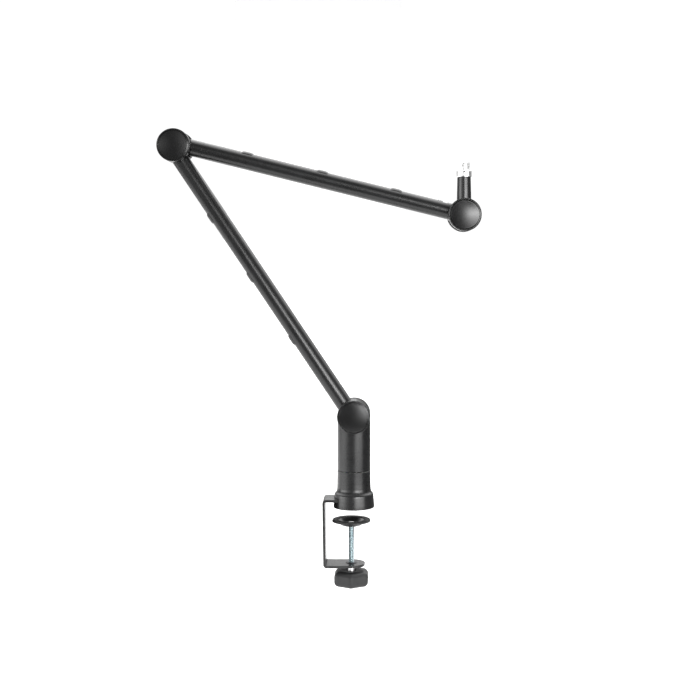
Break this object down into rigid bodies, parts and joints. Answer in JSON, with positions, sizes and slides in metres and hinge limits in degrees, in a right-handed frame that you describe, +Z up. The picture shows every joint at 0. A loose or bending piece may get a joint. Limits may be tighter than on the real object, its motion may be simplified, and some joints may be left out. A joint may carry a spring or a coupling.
{
  "type": "desk clamp microphone boom arm",
  "caption": "Folding desk boom arm for a microphone: clamp base, turning column, two sprung tube arms with covered cable channels, and a tilting stem with a screw thread.",
  "frame": {"origin": "centre of the underside of the base, where it rests on the desk", "axes": "+Z up along the column, +X the way the upper arm reaches as the arm stands, +Y away from the front, along the tilt axes"},
  "size_m": [0.4495, 0.0574, 0.6367],
  "materials": {
    "powder_black": "satin black powder coat on steel and die-cast parts",
    "cap_black": "satin moulded joint caps",
    "cover_black": "fine-grained moulded cover and clips",
    "knob_black": "semi-matte moulded knob",
    "zinc": "bright zinc plate, slightly blue",
    "nickel": "nickel plate",
    "black_oxide": "blackened steel",
    "spring_steel": "oiled spring wire",
    "rubber_black": "matt rubber",
    "acetal": "natural acetal bushes"
  },
  "bodies": {
    "base": {"base_housing": "powder_black", "clamp_bracket": "powder_black", "bracket_screw_front": "zinc", "bracket_screw_rear": "zinc", "foot_pad": "rubber_black", "swivel_spindle": "zinc", "spindle_nut": "zinc", "clamp_nut": "black_oxide"},
    "column": {"column_housing": "powder_black", "swivel_bush": "acetal", "base_joint_bolt": "zinc", "base_joint_nut": "zinc", "base_joint_cap_front": "cap_black", "base_joint_cap_rear": "cap_black", "base_joint_crank": "black_oxide"},
    "lower_arm": {"lower_arm_knuckle": "powder_black", "lower_arm_bush_front": "acetal", "lower_arm_bush_rear": "acetal", "lower_arm_tube": "powder_black", "lower_arm_channel_cover": "cover_black", "lower_arm_clip_1": "cover_black", "lower_arm_clip_2": "cover_black", "lower_arm_clip_3": "cover_black", "lower_arm_pull_link": "black_oxide", "lower_arm_spring": "spring_steel", "elbow_fork": "powder_black", "elbow_joint_bolt": "zinc", "elbow_joint_nut": "zinc", "elbow_joint_cap_front": "cap_black", "elbow_joint_cap_rear": "cap_black", "elbow_joint_crank": "black_oxide"},
    "upper_arm": {"upper_arm_knuckle": "powder_black", "upper_arm_bush_front": "acetal", "upper_arm_bush_rear": "acetal", "upper_arm_tube": "powder_black", "upper_arm_channel_cover": "cover_black", "upper_arm_clip_1": "cover_black", "upper_arm_clip_2": "cover_black", "upper_arm_clip_3": "cover_black", "upper_arm_pull_link": "black_oxide", "upper_arm_spring": "spring_steel", "mic_fork": "powder_black", "mic_joint_bolt": "zinc", "mic_joint_nut": "zinc", "mic_joint_cap_front": "cap_black", "mic_joint_cap_rear": "cap_black"},
    "mic_head": {"mic_stem": "powder_black", "mic_bush_front": "acetal", "mic_bush_rear": "acetal", "thread_stud": "zinc", "thread_adapter": "nickel"},
    "clamp_pad": {"pressure_pad": "powder_black", "pad_ring": "rubber_black"},
    "clamp_screw_body": {"clamp_screw": "zinc", "pad_rivet": "nickel", "clamp_knob": "knob_black", "knob_collar": "nickel"}
  },
  "joints": [
    {"name": "base_swivel", "type": "hinge", "parent": "base", "child": "column", "pos_m": [0, 0, 0.06], "axis": [0, 0, 1], "continuous": true},
    {"name": "base_tilt", "type": "hinge", "parent": "column", "child": "lower_arm", "pos_m": [0, 0, 0.128], "axis": [0, 1, 0], "range_deg": [-35, 60]},
    {"name": "elbow_tilt", "type": "hinge", "parent": "lower_arm", "child": "upper_arm", "pos_m": [-0.2493, 0, 0.5045], "axis": [0, 1, 0], "range_deg": [-125, 2]},
    {"name": "mic_tilt", "type": "hinge", "parent": "upper_arm", "child": "mic_head", "pos_m": [0.1542, 0, 0.4084], "axis": [0, 1, 0], "range_deg": [-10, 215]},
    {"name": "clamp_travel", "type": "slide", "parent": "base", "child": "clamp_pad", "axis": [0, 0, 1], "range_m": [-0.0476, 0.0016]},
    {"name": "screw_turn", "type": "hinge", "parent": "clamp_pad", "child": "clamp_screw_body", "pos_m": [-0.0036, 0, -0.06], "axis": [0, 0, 1], "range_deg": [-13680, 432]}
  ],
  "couplings": [
    {"joint": "clamp_travel", "follows": "screw_turn", "m_per_rad": 0.00019894}
  ]
}
